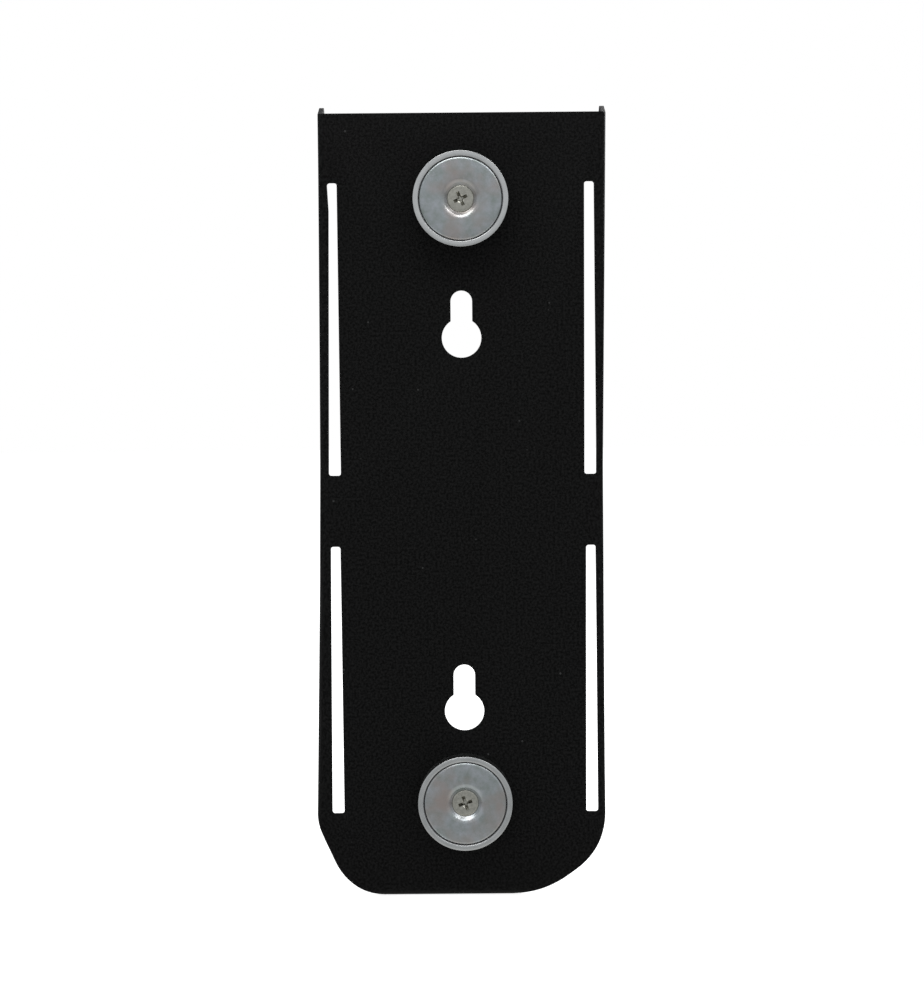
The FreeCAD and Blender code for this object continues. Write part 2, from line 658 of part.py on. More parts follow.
def build_magnet_ring(label, height):
    """The nickel plated ring magnet with its countersink."""
    face = "-(sizes.cup_height - sizes.magnet_recess)"
    outer = "sizes.cup_radius - sizes.cup_wall - sizes.groove_width"
    body = turned_body(label, [
        ("sizes.screw_hole_radius", "-sizes.cup_floor"),
        (outer, "-sizes.cup_floor"),
        (outer, face),
        ("sizes.countersink_radius", face),
        ("sizes.screw_hole_radius", f"{face} + sizes.countersink_radius - sizes.screw_hole_radius"),
    ], height)
    dress(body, "Chamfer", f"{label}_edge", "Size", "sizes.magnet_edge_chamfer",
          is_circle_at(number(outer), number(face)))
    return body


def build_resin_ring(label, height):
    """The potting resin round the magnet, a little below the rim."""
    inner = "sizes.cup_radius - sizes.cup_wall - sizes.groove_width"
    outer = "sizes.cup_radius - sizes.cup_wall"
    face = "-(sizes.cup_height - sizes.groove_depth)"
    return turned_body(label, [
        (inner, "-sizes.cup_floor"),
        (outer, "-sizes.cup_floor"),
        (outer, face),
        (inner, face),
    ], height)


# ---------------------------------------------------------------- fasteners

HEAD_TOP = (
    "(sizes.cup_height - sizes.magnet_recess - sizes.countersink_radius"
    " + sizes.screw_head_radius + sizes.screw_rim)"
)


def build_screw(label, height):
    """A countersunk screw with a cross recess, its head in the magnet's countersink."""
    tip = f"sizes.screw_length - {HEAD_TOP}"
    cone_end = f"sizes.screw_rim + sizes.screw_head_radius - sizes.screw_radius - {HEAD_TOP}"
    body = turned_body(label, [
        ("0", f"-{HEAD_TOP}"),
        ("sizes.screw_head_radius", f"-{HEAD_TOP}"),
        ("sizes.screw_head_radius", f"sizes.screw_rim - {HEAD_TOP}"),
        ("sizes.screw_radius", cone_end),
        ("sizes.screw_radius", f"{tip} - sizes.thread_depth"),
        ("sizes.screw_radius - sizes.thread_depth", tip),
        ("0", tip),
    ], height)
    add_cross_recess(body, label)
    add_thread(body, label, tip)
    return body


def add_cross_recess(body, label):
    """Two crossed slots sunk into the head."""
    drawing = Drawing(body, f"{label}_cross", "XZ_Plane", offset=HEAD_TOP)
    arm = "sizes.screw_recess_span / 2"
    web = "sizes.screw_recess_width / 2"
    outline = [(web, web), (web, arm), (f"-{web}", arm), (f"-{web}", web)]
    outline += [(f"-{arm}", web), (f"-{arm}", f"-{web}"), (f"-{web}", f"-{web}")]
    outline += [(f"-{web}", f"-{arm}"), (web, f"-{arm}"), (web, f"-{web}")]
    outline += [(arm, f"-{web}"), (arm, web)]
    drawing.polygon(outline)
    extrude(body, "Pocket", f"{label}_recess", drawing, "sizes.screw_recess_depth")


def add_thread(body, label, tip):
    """Thread as evenly spaced grooves, from the cup's floor to the tip."""
    drawing = Drawing(body, f"{label}_groove_section", "XY_Plane")
    base = "sizes.screw_radius + sizes.thread_clearance"
    root = "sizes.screw_radius - sizes.thread_depth"
    first = f"{tip} - sizes.thread_pitch"
    drawing.polygon([
        (base, f"{first} - sizes.thread_groove_width / 2"),
        (root, first),
        (base, f"{first} + sizes.thread_groove_width / 2"),
    ])
    groove = turn(body, f"{label}_groove", drawing, kind="Groove")
    pattern = body.newObject("PartDesign::LinearPattern", f"{label}_thread")
    pattern.Originals = [groove]
    pattern.Direction = (drawing.sketch, ["V_Axis"])
    pattern.Reversed = True
    count = int(number("sizes.thread_turns"))
    pattern.setExpression("Length", f"sizes.thread_pitch * {count - 1}")
    pattern.Occurrences = count
    body.Tip = pattern
    document.recompute()


def build_washer(label, height):
    """A plain washer against the front of the back plate."""
    near = "sizes.sheet_thickness"
    far = "sizes.sheet_thickness + sizes.washer_thickness"
    return turned_body(label, [
        ("sizes.washer_hole_radius", near),
        ("sizes.washer_radius", near),
        ("sizes.washer_radius", far),
        ("sizes.washer_hole_radius", far),
    ], height)


def build_nut(label, height):
    """A hexagon nut on the washer, its corners turned off at both ends."""
    near = "sizes.sheet_thickness + sizes.washer_thickness"
    corner = "sizes.nut_across_flats / sqrt(3)"
    body = new_body(label)
    outline = Drawing(body, f"{label}_hexagon", "XZ_Plane", offset=f"-({near})")
    flat = "sizes.nut_across_flats / 2"
    outline.polygon([
        (corner, "0"), (f"{corner} / 2", flat), (f"-{corner} / 2", flat),
        (f"-{corner}", "0"), (f"-{corner} / 2", f"-{flat}"), (f"{corner} / 2", f"-{flat}"),
    ])
    extrude(body, "Pad", f"{label}_block", outline, "sizes.nut_height", away=True)
    bore = Drawing(body, f"{label}_bore_section", "XY_Plane")
    far = f"{near} + sizes.nut_height"
    widening = "sizes.nut_mouth_radius - sizes.nut_bore_radius"
    bore.polygon([
        ("0", near), ("sizes.nut_mouth_radius", near),
        ("sizes.nut_bore_radius", f"{near} + {widening}"),
        ("sizes.nut_bore_radius", f"{far} - ({widening})"),
        ("sizes.nut_mouth_radius", far), ("0", far),
    ])
    turn(body, f"{label}_bore", bore, kind="Groove")
    corners = Drawing(body, f"{label}_corner_section", "XY_Plane")
    beyond = f"{corner} + sizes.nut_corner_reach"
    for end, inward in ((near, "+"), (far, "-")):
        corners.polygon([
            (f"{flat} - sizes.nut_corner_inset", end),
            (beyond, end),
            (beyond, f"{end} {inward} sizes.nut_corner_rise"),
        ])
    turn(body, f"{label}_corners", corners, kind="Groove")
    body.setExpression("Placement.Base.z", height)
    return body


# ---------------------------------------------------------------- the whole object

def build_magnet_set(place, height):
    """One pot magnet with its screw, washer and nut."""
    return [
        build_magnet_cup(f"{place}_magnet_cup", height),
        build_magnet_ring(f"{place}_magnet_ring", height),
        build_resin_ring(f"{place}_resin_ring", height),
        build_screw(f"{place}_screw", height),
        build_washer(f"{place}_washer", height),
        build_nut(f"{place}_nut", height),
    ]


parts = [build_holder_shell()]
parts += build_magnet_set("upper", "sizes.upper_magnet_height")
parts += build_magnet_set("lower", "-sizes.lower_magnet_height")
document.recompute()

for item in document.Objects:
    faults = {"Invalid", "Error"} & set(item.State)
    if faults:
        raise RuntimeError(f"{item.Label} failed: {item.State}")
for item in parts:
    if item.Shape.isNull() or not item.Shape.isValid():
        raise RuntimeError(f"{item.Label} has no valid shape")
    if len(item.Shape.Solids) != 1:
        raise RuntimeError(f"{item.Label} has {len(item.Shape.Solids)} solids")

os.makedirs("parts", exist_ok=True)
for item in parts:
    item.Shape.exportStep(os.path.join("parts", f"{item.Label}.step"))
    print(f"{item.Label}: {item.Shape.Volume:.1f} mm3")
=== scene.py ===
import math

import bpy
from mathutils import Matrix, Vector


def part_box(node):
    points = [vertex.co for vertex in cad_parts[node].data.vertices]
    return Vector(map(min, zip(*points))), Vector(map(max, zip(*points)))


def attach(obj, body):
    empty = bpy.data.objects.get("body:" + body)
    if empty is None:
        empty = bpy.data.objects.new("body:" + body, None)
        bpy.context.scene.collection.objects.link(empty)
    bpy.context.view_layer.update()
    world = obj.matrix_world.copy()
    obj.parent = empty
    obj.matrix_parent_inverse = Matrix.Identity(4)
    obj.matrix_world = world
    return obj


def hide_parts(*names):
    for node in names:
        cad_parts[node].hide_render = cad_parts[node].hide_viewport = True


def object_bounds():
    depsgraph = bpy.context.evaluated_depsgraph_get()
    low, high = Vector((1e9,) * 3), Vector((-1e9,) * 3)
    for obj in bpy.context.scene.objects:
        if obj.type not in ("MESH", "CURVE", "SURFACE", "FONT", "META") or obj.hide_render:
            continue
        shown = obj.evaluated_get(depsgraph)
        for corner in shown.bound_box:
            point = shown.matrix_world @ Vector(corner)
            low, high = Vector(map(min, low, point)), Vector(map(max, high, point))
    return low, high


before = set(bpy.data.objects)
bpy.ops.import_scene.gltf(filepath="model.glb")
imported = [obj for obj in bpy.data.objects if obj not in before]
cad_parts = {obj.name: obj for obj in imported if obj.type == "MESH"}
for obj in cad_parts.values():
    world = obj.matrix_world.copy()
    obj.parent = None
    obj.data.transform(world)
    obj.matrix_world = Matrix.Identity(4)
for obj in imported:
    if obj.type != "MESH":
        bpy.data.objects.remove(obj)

cad_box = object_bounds()


# The view: the holder's wall side, seen square on from a little above, at about arm's length.
# The holder's outline leans by about half a degree against its line of keyholes, so the camera
# is rolled by as much to stand the outline upright.
LENS = 95.5
SENSOR = 36.0
DISTANCE = 0.900
ABOVE = math.radians(3.3)
ROLL = math.radians(0.47)
AIM = Vector((-0.00030, 0.0, 0.00859))
camera_data = bpy.data.cameras.new("studio_camera")
camera_data.lens = LENS
camera_data.sensor_width = SENSOR
camera_data.dof.use_dof = False
camera = bpy.data.objects.new("studio_camera", camera_data)
bpy.context.scene.collection.objects.link(camera)
to_camera = Vector((0.0, -math.cos(ABOVE), math.sin(ABOVE)))
camera.location = AIM + to_camera * DISTANCE
facing = (-to_camera).to_track_quat("-Z", "Y").to_matrix()
camera.rotation_euler = (facing @ Matrix.Rotation(-ROLL, 3, "Z")).to_euler()
bpy.context.scene.camera = camera
bpy.context.scene.view_settings.view_transform = "Standard"


# The room: a white paper floor and surround, with two soft boxes overhead that draw the bright
# arcs on the magnets, one box for the open side, and a grey room that the plated faces mirror.
def linear(code):
    """An sRGB hex colour as linear red, green, blue and alpha."""
    parts = [int(code[place:place + 2], 16) / 255 for place in (1, 3, 5)]
    parts = [part / 12.92 if part <= 0.04045 else ((part + 0.055) / 1.055) ** 2.4 for part in parts]
    return (*parts, 1.0)


def add_node(tree, kind, values=None, links=None, **settings):
    """A node with its settings, its sockets' values, and the outputs that feed its sockets."""
    node = tree.nodes.new(kind)
    for name, value in settings.items():
        setattr(node, name, value)
    for name, value in (values or {}).items():
        node.inputs[name].default_value = value
    for name, source in (links or {}).items():
        tree.links.new(source, node.inputs[name])
    return node


def add_soft_box(name, place, size, power):
    """An area light of a width and a depth in metres, aimed at the holder's middle."""
    data = bpy.data.lights.new(name, "AREA")
    data.shape = "RECTANGLE"
    data.size, data.size_y = size
    data.energy = power
    light = bpy.data.objects.new(name, data)
    light.location = place
    light.rotation_euler = (AIM - Vector(place)).to_track_quat("-Z", "Y").to_euler()
    bpy.context.scene.collection.objects.link(light)


room = bpy.data.worlds.new("studio_room")
room.use_nodes = True
room.node_tree.nodes.clear()
ray = add_node(room.node_tree, "ShaderNodeLightPath")
direction = add_node(room.node_tree, "ShaderNodeTexCoord").outputs["Generated"]
height = add_node(room.node_tree, "ShaderNodeSeparateXYZ", links={"Vector": direction})
height_step = add_node(room.node_tree, "ShaderNodeMapRange", {"From Min": -1.0, "From Max": 1.0},
                       {"Value": height.outputs["Z"]})
bands = add_node(room.node_tree, "ShaderNodeValToRGB", links={"Fac": height_step.outputs["Result"]})
# Grey bands by height: 0 is straight down, 0.5 is level and 1 is straight up.
ROOM_BANDS = (
    (0.0, "#f6f6f4"), (0.25, "#ececea"), (0.42, "#a0a3a5"),
    (0.53, "#e0e2e4"), (0.75, "#d0d2d4"), (1.0, "#b4b6b8"),
)
while len(bands.color_ramp.elements) < len(ROOM_BANDS):
    bands.color_ramp.elements.new(1.0)
for band, (position, code) in zip(bands.color_ramp.elements, ROOM_BANDS):
    band.position = position
    band.color = linear(code)
dim = add_node(room.node_tree, "ShaderNodeBackground", links={"Color": bands.outputs["Color"]})
white = add_node(room.node_tree, "ShaderNodeBackground", {"Color": linear("#ffffff"), "Strength": 1.0})
surround = add_node(room.node_tree, "ShaderNodeMixShader", links={
    "Fac": ray.outputs["Is Camera Ray"], 1: dim.outputs[0], 2: white.outputs[0],
})
add_node(room.node_tree, "ShaderNodeOutputWorld", links={"Surface": surround.outputs[0]})
bpy.context.scene.world = room

add_soft_box("overhead_box", (-0.20, -0.36, 0.78), (0.92, 0.40), 5.2)
add_soft_box("overhead_strip", (0.56, -0.36, 0.74), (0.32, 0.40), 1.9)
add_soft_box("open_side_box", (0.50, 0.85, 0.60), (0.60, 0.60), 14.0)

# Matt white paper: a dull, even sheet. A glow of its own keeps it white.
FLOOR_RADIUS = 4.0
bpy.ops.object.select_all(action="DESELECT")
bpy.ops.mesh.primitive_circle_add(
    vertices=64, radius=FLOOR_RADIUS, fill_type="NGON", location=(0, 0, cad_box[0].z)
)
floor = bpy.context.object
floor.name = "floor"
bpy.ops.object.transform_apply(location=True, rotation=True, scale=True)
paper = bpy.data.materials.new("matt white paper")
paper.use_nodes = True
paper_face = paper.node_tree.nodes["Principled BSDF"]
paper_face.inputs["Base Color"].default_value = linear("#bcbcbb")
paper_face.inputs["Roughness"].default_value = 0.95
paper_face.inputs["Emission Color"].default_value = linear("#ffffff")
paper_face.inputs["Emission Strength"].default_value = 0.78
floor.data.materials.append(paper)
# Mirrors do not see the paper, so that the plated faces show the grey room.
floor.visible_glossy = False


# The shell: one sheet of 1.5 mm steel, cut by laser, folded at both sides and at the foot, then
# powder coated black. The coat builds up on the cut edges, so they are softly rounded.
COAT_EDGE_ROUND = 0.00035
SHARP = math.radians(30)
FLAT = math.radians(0.5)
SAME_POINT = 1e-6
BODY = "root"


def finish_piece(piece, slot, *nodes):
    """The piece rides with the holder and stands for its CAD nodes."""
    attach(piece, BODY)
    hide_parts(*nodes)


def merged_copy(node, name):
    """A copy of a CAD node's mesh with its loose triangles joined up, in a mesh of its own."""
    bpy.ops.object.select_all(action="DESELECT")
    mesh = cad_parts[node].data.copy()
    mesh.materials.clear()
    mesh.name = name
    piece = bpy.data.objects.new(name, mesh)
    bpy.context.scene.collection.objects.link(piece)
    piece.select_set(True)
    bpy.context.view_layer.objects.active = piece
    bpy.ops.object.mode_set(mode="EDIT")
    bpy.ops.mesh.select_all(action="SELECT")
    bpy.ops.mesh.customdata_custom_splitnormals_clear()
    bpy.ops.mesh.remove_doubles(threshold=SAME_POINT)
    bpy.ops.mesh.dissolve_limited(angle_limit=FLAT)
    bpy.ops.object.mode_set(mode="OBJECT")
    return piece


def round_edges(piece, width, segments):
    """Round every sharp edge of a piece by a width, and shade it smooth between them."""
    bevel = piece.modifiers.new("edge rounding", "BEVEL")
    bevel.width = width
    bevel.segments = segments
    bevel.limit_method = "ANGLE"
    bevel.angle_limit = SHARP
    bpy.ops.object.modifier_apply(modifier=bevel.name)
    bpy.ops.object.shade_smooth_by_angle(angle=SHARP)


shell = merged_copy("holder_shell", "coated_shell")
round_edges(shell, COAT_EDGE_ROUND, 3)

# Fine textured black powder coat: polyester powder baked to a close, dry pebble. The real pebble
# is about 0.2 mm and is drawn at 0.8 mm to show. Here and there a paler grain has stuck.
PEBBLE = 0.0008
PEBBLE_HEIGHT = 0.00012
GRAIN_SPACING = 0.009
coat = bpy.data.materials.new("fine textured black powder coat")
coat.use_nodes = True
tree = coat.node_tree
face = tree.nodes["Principled BSDF"]
place = add_node(tree, "ShaderNodeTexCoord").outputs["Object"]
pebble = add_node(tree, "ShaderNodeTexNoise", {"Scale": 1 / PEBBLE, "Detail": 3.0, "Roughness": 0.6},
                  {"Vector": place})
tone = add_node(tree, "ShaderNodeMapRange", {"From Min": 0.40, "From Max": 0.60},
                {"Value": pebble.outputs["Fac"]})
black = add_node(tree, "ShaderNodeMixRGB", {"Color1": linear("#010101"), "Color2": linear("#0f0f0f")},
                 {"Fac": tone.outputs["Result"]})
grain = add_node(tree, "ShaderNodeTexVoronoi", {"Scale": 1 / GRAIN_SPACING}, {"Vector": place})
speck = add_node(tree, "ShaderNodeMapRange",
                 {"From Min": 0.03, "From Max": 0.05, "To Min": 1.0, "To Max": 0.0},
                 {"Value": grain.outputs["Distance"]})
specked = add_node(tree, "ShaderNodeMixRGB", {"Color2": linear("#2a2a2a")},
                   {"Fac": speck.outputs["Result"], "Color1": black.outputs["Color"]})
tree.links.new(specked.outputs["Color"], face.inputs["Base Color"])
gloss = add_node(tree, "ShaderNodeMapRange", {"To Min": 0.62, "To Max": 0.82},
                 {"Value": pebble.outputs["Fac"]})
tree.links.new(gloss.outputs["Result"], face.inputs["Roughness"])
face.inputs["Specular IOR Level"].default_value = 0.07
dimple = add_node(tree, "ShaderNodeBump", {"Strength": 0.6, "Distance": PEBBLE_HEIGHT},
                  {"Height": pebble.outputs["Fac"]})
tree.links.new(dimple.outputs["Normal"], face.inputs["Normal"])
shell.data.materials.append(coat)
finish_piece(shell, "black_powder_coat", "holder_shell")


# The magnet cups: 32 mm cups pressed from soft iron and zinc plated, their mouths to the wall.
# The edges of the rims are only broken, outside and in.
ROUND_STEPS = 160
CUP_WALL = 0.0017
CUP_FLOOR = 0.002
SCREW_HOLE = 0.00275
CUP_RIM_ROUND = 0.00012
CUP_MOUTH_ROUND = 0.00015
NEAR = 1e-5
upper_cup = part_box("upper_magnet_cup")
lower_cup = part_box("lower_magnet_cup")
axis_height = (upper_cup[0].z + upper_cup[1].z) / 2
axis_drop = (lower_cup[0].z + lower_cup[1].z) / 2 - axis_height
cup_radius = (upper_cup[1].x - upper_cup[0].x) / 2
cup_mouth = upper_cup[0].y


def turned_rings(name, rings, closed):
    """A piece turned on the upper magnet's axis: a circle drawn out ring by ring, each ring a radius
    and a depth. A closed section joins its last ring to its first, and an open one caps both."""
    bpy.ops.object.select_all(action="DESELECT")
    radius, depth = rings[0]
    bpy.ops.mesh.primitive_circle_add(
        vertices=ROUND_STEPS, radius=radius, fill_type="NOTHING",
        location=(0, depth, axis_height), rotation=(math.radians(90), 0, 0),
    )
    piece = bpy.context.object
    piece.name = piece.data.name = name
    bpy.ops.object.transform_apply(location=True, rotation=True, scale=True)
    bpy.ops.object.mode_set(mode="EDIT")
    bpy.ops.mesh.select_all(action="SELECT")
    for next_radius, next_depth in rings[1:]:
        bpy.ops.mesh.extrude_region_move(TRANSFORM_OT_translate={"value": (0, next_depth - depth, 0)})
        growth = next_radius / radius
        bpy.ops.transform.resize(value=(growth, 1, growth), center_override=(0, next_depth, axis_height))
        radius, depth = next_radius, next_depth
    bpy.ops.mesh.select_mode(type="EDGE")
    bpy.ops.mesh.select_all(action="DESELECT")
    bpy.ops.mesh.select_non_manifold()
    if closed:
        bpy.ops.mesh.bridge_edge_loops()
    else:
        bpy.ops.mesh.fill_holes(sides=0)
    bpy.ops.mesh.select_all(action="SELECT")
    bpy.ops.mesh.normals_make_consistent(inside=False)
    bpy.ops.object.mode_set(mode="OBJECT")
    return piece


def round_ring(piece, radius, depth, width, segments=4):
    """Round one turned edge, found by its radius and depth."""
    bpy.ops.object.mode_set(mode="EDIT")
    bpy.ops.mesh.select_mode(type="VERT")
    bpy.ops.mesh.select_all(action="DESELECT")
    bpy.ops.object.mode_set(mode="OBJECT")
    for corner in piece.data.vertices:
        out = math.hypot(corner.co.x, corner.co.z - axis_height)
        corner.select = abs(out - radius) < NEAR and abs(corner.co.y - depth) < NEAR
    bpy.ops.object.mode_set(mode="EDIT")
    bpy.ops.mesh.select_mode(type="EDGE")
    bpy.ops.mesh.bevel(offset=width, segments=segments, affect="EDGES")
    bpy.ops.object.mode_set(mode="OBJECT")


def lower_copy(piece, name, turn=0.0):
    """A copy of an upper piece on the lower magnet's axis, with a mesh of its own."""
    bpy.ops.object.select_all(action="DESELECT")
    piece.select_set(True)
    bpy.context.view_layer.objects.active = piece
    bpy.ops.object.duplicate()
    twin = bpy.context.object
    twin.name = twin.data.name = name
    bpy.ops.object.mode_set(mode="EDIT")
    bpy.ops.mesh.select_all(action="SELECT")
    bpy.ops.transform.rotate(value=turn, orient_axis="Y", center_override=(0, 0, axis_height))
    bpy.ops.transform.translate(value=(0, 0, axis_drop))
    bpy.ops.object.mode_set(mode="OBJECT")
    return twin


cup = turned_rings("upper_pot", [
    (SCREW_HOLE, 0.0), (cup_radius, 0.0), (cup_radius, cup_mouth),
    (cup_radius - CUP_WALL, cup_mouth), (cup_radius - CUP_WALL, -CUP_FLOOR), (SCREW_HOLE, -CUP_FLOOR),
], closed=True)
round_ring(cup, cup_radius, 0.0, CUP_RIM_ROUND)
round_ring(cup, cup_radius, cup_mouth, CUP_RIM_ROUND)
round_ring(cup, cup_radius - CUP_WALL, cup_mouth, CUP_MOUTH_ROUND)
bpy.ops.object.shade_smooth_by_angle(angle=SHARP)
lower_cup_piece = lower_copy(cup, "lower_pot")

# Bright zinc plate over pressed steel: a pale, slightly clouded metal with a fine grain, which is
# drawn at 0.3 mm so that it shows.
ZINC_CLOUD = 0.004
ZINC_GRAIN = 0.0003
ZINC_GRAIN_HEIGHT = 0.00002
zinc = bpy.data.materials.new("bright zinc plate")
zinc.use_nodes = True
tree = zinc.node_tree
face = tree.nodes["Principled BSDF"]
place = add_node(tree, "ShaderNodeTexCoord").outputs["Object"]
cloud = add_node(tree, "ShaderNodeTexNoise", {"Scale": 1 / ZINC_CLOUD, "Detail": 3.0}, {"Vector": place})
plate = add_node(tree, "ShaderNodeMixRGB", {"Color1": linear("#b5b7b6"), "Color2": linear("#cfd0d0")},
                 {"Fac": cloud.outputs["Fac"]})
tree.links.new(plate.outputs["Color"], face.inputs["Base Color"])
face.inputs["Metallic"].default_value = 1.0
haze = add_node(tree, "ShaderNodeMapRange", {"To Min": 0.16, "To Max": 0.28},
                {"Value": cloud.outputs["Fac"]})
tree.links.new(haze.outputs["Result"], face.inputs["Roughness"])
fine = add_node(tree, "ShaderNodeTexNoise", {"Scale": 1 / ZINC_GRAIN, "Detail": 2.0}, {"Vector": place})
dimple = add_node(tree, "ShaderNodeBump", {"Strength": 0.25, "Distance": ZINC_GRAIN_HEIGHT},
                  {"Height": fine.outputs["Fac"]})
tree.links.new(dimple.outputs["Normal"], face.inputs["Normal"])
for piece, node in ((cup, "upper_magnet_cup"), (lower_cup_piece, "lower_magnet_cup")):
    piece.data.materials.append(zinc)
    finish_piece(piece, "zinc_plated_steel", node)


# The magnets: sintered rings, tumbled so that every edge is soft, nickel plated and set in the
# cups just below the rim. A countersink for the screw's head runs in from the face.
MAGNET_RECESS = 0.00005
GROOVE = 0.0002
COUNTERSINK = 0.0060
MAGNET_EDGE_ROUND = 0.0010
COUNTERSINK_ROUND = 0.0009
magnet_face = cup_mouth + MAGNET_RECESS
magnet_radius = cup_radius - CUP_WALL - GROOVE
cone_depth = magnet_face + COUNTERSINK - SCREW_HOLE
magnet = turned_rings("upper_magnet", [
    (SCREW_HOLE, -CUP_FLOOR), (magnet_radius, -CUP_FLOOR), (magnet_radius, magnet_face),
    (COUNTERSINK, magnet_face), (SCREW_HOLE, cone_depth),
], closed=True)
round_ring(magnet, magnet_radius, magnet_face, MAGNET_EDGE_ROUND, 6)
round_ring(magnet, COUNTERSINK, magnet_face, COUNTERSINK_ROUND, 6)
bpy.ops.object.shade_smooth_by_angle(angle=SHARP)
lower_magnet = lower_copy(magnet, "lower_magnet")

# Satin nickel plate on a tumbled magnet: a grey mirror gone soft, in faint patches of green,
# violet and brown a few millimetres wide where the plate is thinner. Its surface ripples in an
# orange peel of 0.7 mm.
NICKEL_PATCH = 0.003
NICKEL_STAIN = 0.009
NICKEL_PEEL = 0.0007
NICKEL_PEEL_HEIGHT = 0.00003
nickel = bpy.data.materials.new("satin nickel plate")
nickel.use_nodes = True
tree = nickel.node_tree
face = tree.nodes["Principled BSDF"]
place = add_node(tree, "ShaderNodeTexCoord").outputs["Object"]
patch = add_node(tree, "ShaderNodeTexNoise", {"Scale": 1 / NICKEL_PATCH, "Detail": 6.0, "Roughness": 0.7},
                 {"Vector": place})
patch_tone = add_node(tree, "ShaderNodeMapRange", {"From Min": 0.3, "From Max": 0.7},
                      {"Value": patch.outputs["Fac"]})
bare = add_node(tree, "ShaderNodeMixRGB", {"Color1": linear("#8f9793"), "Color2": linear("#acb0b6")},
                {"Fac": patch_tone.outputs["Result"]})
stain = add_node(tree, "ShaderNodeTexNoise", {"Scale": 1 / NICKEL_STAIN, "Detail": 3.0, "W": 4.0},
                 {"Vector": place}, noise_dimensions="4D")
stain_tone = add_node(tree, "ShaderNodeMapRange", {"From Min": 0.45, "From Max": 0.7},
                      {"Value": stain.outputs["Fac"]})
stained = add_node(tree, "ShaderNodeMixRGB", {"Color2": linear("#a39a96")},
                   {"Fac": stain_tone.outputs["Result"], "Color1": bare.outputs["Color"]})
tree.links.new(stained.outputs["Color"], face.inputs["Base Color"])
face.inputs["Metallic"].default_value = 1.0
satin = add_node(tree, "ShaderNodeMapRange", {"To Min": 0.28, "To Max": 0.40},
                 {"Value": patch.outputs["Fac"]})
tree.links.new(satin.outputs["Result"], face.inputs["Roughness"])
orange_peel = add_node(tree, "ShaderNodeTexNoise", {"Scale": 1 / NICKEL_PEEL, "Detail": 3.0},
                       {"Vector": place})
dimple = add_node(tree, "ShaderNodeBump", {"Strength": 0.2, "Distance": NICKEL_PEEL_HEIGHT},
                  {"Height": orange_peel.outputs["Fac"]})
tree.links.new(dimple.outputs["Normal"], face.inputs["Normal"])
for piece, node in ((magnet, "upper_magnet_ring"), (lower_magnet, "lower_magnet_ring")):
    piece.data.materials.append(nickel)
    finish_piece(piece, "nickel_plate", node)


# The potting: a thread of grey epoxy resin run into the gap between magnet and cup, where it has
# set a little below the rim with a dished surface.
RESIN_DROP = 0.00025
RESIN_DISH = 0.00006
resin_outer = cup_radius - CUP_WALL
resin_face = cup_mouth + RESIN_DROP
resin = turned_rings("upper_resin", [
    (magnet_radius, -CUP_FLOOR), (resin_outer, -CUP_FLOOR), (resin_outer, resin_face),
    (magnet_radius + GROOVE / 2, resin_face + RESIN_DISH), (magnet_radius, resin_face),
], closed=True)
bpy.ops.object.shade_smooth_by_angle(angle=SHARP)
lower_resin = lower_copy(resin, "lower_resin")

# Cast epoxy: a mid grey plastic, glossy where it flowed and dull where dust has settled on it.
RESIN_DUST = 0.0015
epoxy = bpy.data.materials.new("cast epoxy resin")
epoxy.use_nodes = True
tree = epoxy.node_tree
face = tree.nodes["Principled BSDF"]
place = add_node(tree, "ShaderNodeTexCoord").outputs["Object"]
dust = add_node(tree, "ShaderNodeTexNoise", {"Scale": 1 / RESIN_DUST, "Detail": 3.0}, {"Vector": place})
dusty = add_node(tree, "ShaderNodeMixRGB", {"Color1": linear("#48494b"), "Color2": linear("#6a6b6c")},
                 {"Fac": dust.outputs["Fac"]})
tree.links.new(dusty.outputs["Color"], face.inputs["Base Color"])
dull = add_node(tree, "ShaderNodeMapRange", {"To Min": 0.3, "To Max": 0.6}, {"Value": dust.outputs["Fac"]})
tree.links.new(dull.outputs["Result"], face.inputs["Roughness"])
for piece, node in ((resin, "upper_resin_ring"), (lower_resin, "lower_resin_ring")):
    piece.data.materials.append(epoxy)
    finish_piece(piece, "potting_resin", node)


# The screws: M5 countersunk machine screws, cold headed with a punched cross recess and a rolled
# thread. Each holds its magnet to the shell, and its cross stands at the angle it stopped at.
SCREW_RADIUS = 0.00245
HEAD_EDGE = 0.0003
HEAD_ROUND = 0.00055
HEAD_ROUND_STEPS = 6
THREAD_PITCH = 0.0008
THREAD_DEPTH = 0.0003
THREAD_STEPS = 32
THREAD_STRETCH = 1.55
CROSS_REACH = 0.0025
CROSS_WIDTH = 0.0011
CROSS_DEPTH = 0.0021
CROSS_WELL = 0.00035
CROSS_MOUTH = 0.0016
CROSS_MOUTH_DEPTH = 0.0010
CROSS_FLOOR_SHARE = 0.42
UPPER_CROSS_TURN = math.radians(24)
LOWER_CROSS_TURN = math.radians(-6)
OVERLAP = 0.0001
upper_screw_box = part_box("upper_screw")
head_top = upper_screw_box[0].y
screw_tip = upper_screw_box[1].y
head_radius = (upper_screw_box[1].x - upper_screw_box[0].x) / 2
core_radius = SCREW_RADIUS - THREAD_DEPTH
neck = head_top + HEAD_EDGE + head_radius - SCREW_RADIUS
rim_turns = [math.pi / 2 * step / HEAD_ROUND_STEPS for step in range(HEAD_ROUND_STEPS + 1)]
screw = turned_rings("upper_machine_screw", [
    (core_radius, head_top),
    *((head_radius - HEAD_ROUND * (1 - math.sin(turn)), head_top + HEAD_EDGE * (1 - math.cos(turn)))
      for turn in rim_turns),
    (SCREW_RADIUS, neck), (core_radius, neck + THREAD_DEPTH), (core_radius, screw_tip - THREAD_DEPTH),
    (core_radius - THREAD_DEPTH, screw_tip),
], closed=False)


